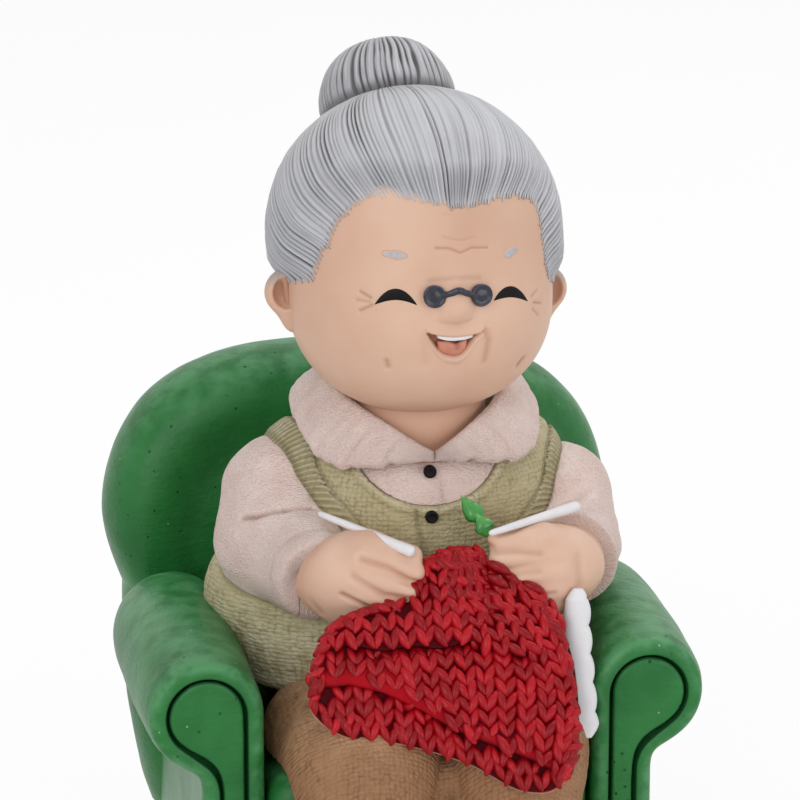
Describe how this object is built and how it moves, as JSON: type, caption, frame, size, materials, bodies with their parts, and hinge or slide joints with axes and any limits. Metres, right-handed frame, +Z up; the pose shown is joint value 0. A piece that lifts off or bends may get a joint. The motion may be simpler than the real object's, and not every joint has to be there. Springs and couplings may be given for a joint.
{
  "type": "figurine",
  "caption": "Painted resin figurine of a smiling elderly woman who knits in a round-armed armchair, with a hair bun, knit vest and small glasses low on the nose.",
  "frame": {"origin": "on the surface it stands on, in the middle of its width and depth", "axes": "+Z up, the figure faces -Y, +X to its right side as seen from the front"},
  "size_m": [0.0696, 0.0834, 0.1113],
  "materials": {
    "green_upholstery_paint": "green painted resin, semi-gloss, cloudy brushwork with small pits",
    "dark_wood_paint": "dark brown painted resin, satin",
    "skin_paint": "warm skin-tone painted resin, satin, darker wash in the folds",
    "silver_hair_paint": "silver-grey painted resin with carved strands, satin",
    "brow_paint": "grey painted resin, satin",
    "blouse_paint": "pale pinkish-beige painted resin with a fine weave, matte",
    "olive_knit_paint": "olive-beige painted resin with small knit cells, matte",
    "brown_weave_paint": "tan-brown painted resin with a coarse weave, matte",
    "red_wool_paint": "crimson painted resin with raised knit stitches, glossy",
    "white_paint": "white painted resin, satin",
    "black_paint": "black painted resin, glossy",
    "dark_lens_paint": "blue-black painted resin, glossy",
    "leaf_green_paint": "bright green painted resin, glossy",
    "mouth_pink_paint": "pink painted resin, satin",
    "slipper_red_paint": "dark red painted resin, satin"
  },
  "bodies": {
    "root": {"arm_front_panel_left": "green_upholstery_paint", "arm_front_panel_right": "green_upholstery_paint", "chair_arm_left": "green_upholstery_paint", "chair_arm_right": "green_upholstery_paint", "chair_back": "green_upholstery_paint", "chair_base": "green_upholstery_paint", "collar_left": "blouse_paint", "collar_right": "blouse_paint", "ear_left": "skin_paint", "ear_right": "skin_paint", "eye_left": "black_paint", "eye_right": "black_paint", "eyebrow_left": "brow_paint", "eyebrow_right": "brow_paint", "foot_front_left": "dark_wood_paint", "foot_front_right": "dark_wood_paint", "foot_rear_left": "dark_wood_paint", "foot_rear_right": "dark_wood_paint", "glasses": "dark_lens_paint", "hair_bun": "silver_hair_paint", "hair_cap": "silver_hair_paint", "hand_left": "skin_paint", "hand_right": "skin_paint", "head": "skin_paint", "knitting": "red_wool_paint", "leaf": "leaf_green_paint", "neck": "skin_paint", "needle_left": "white_paint", "needle_right": "white_paint", "seat_cushion": "green_upholstery_paint", "shirt_button": "black_paint", "shirt_front": "blouse_paint", "sleeve_left": "blouse_paint", "sleeve_right": "blouse_paint", "slipper_left": "slipper_red_paint", "slipper_right": "slipper_red_paint", "teeth": "white_paint", "tongue": "mouth_pink_paint", "trousers": "brown_weave_paint", "vest": "olive_knit_paint", "vest_button": "black_paint", "wool_tail": "white_paint"}
  },
  "joints": []
}
